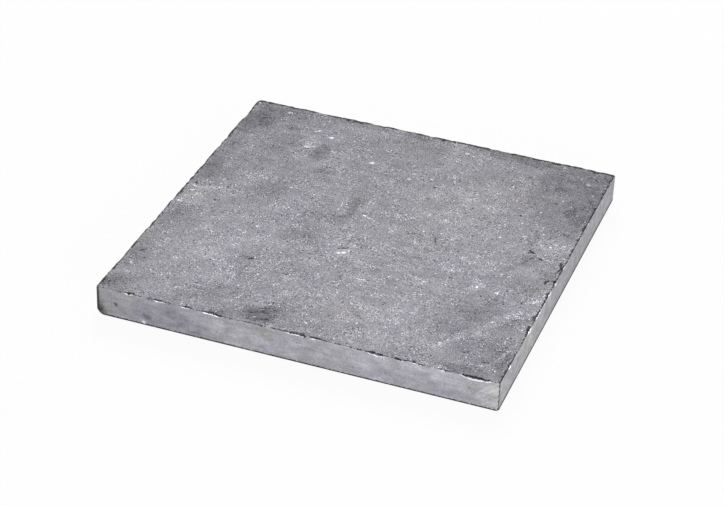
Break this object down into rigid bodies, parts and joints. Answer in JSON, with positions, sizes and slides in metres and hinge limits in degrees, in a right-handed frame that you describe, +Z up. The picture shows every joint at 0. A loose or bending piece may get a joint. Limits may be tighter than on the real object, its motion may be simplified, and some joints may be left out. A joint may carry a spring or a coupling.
{
  "type": "bluestone paver",
  "caption": "Square sawn bluestone paver with a flamed top, sawn sides, spalled top arrises and blunted corners, laid flat on its bed face.",
  "frame": {"origin": "middle of the bed face, on the ground it lies on", "axes": "+Z up, square to the wearing face; +X along the front edge to the right; +Y towards the back edge"},
  "size_m": [0.4, 0.4, 0.0315],
  "materials": {
    "bluestone": "flamed top, sawn sides and bed"
  },
  "bodies": {
    "root": {"paver": "bluestone"}
  },
  "joints": []
}
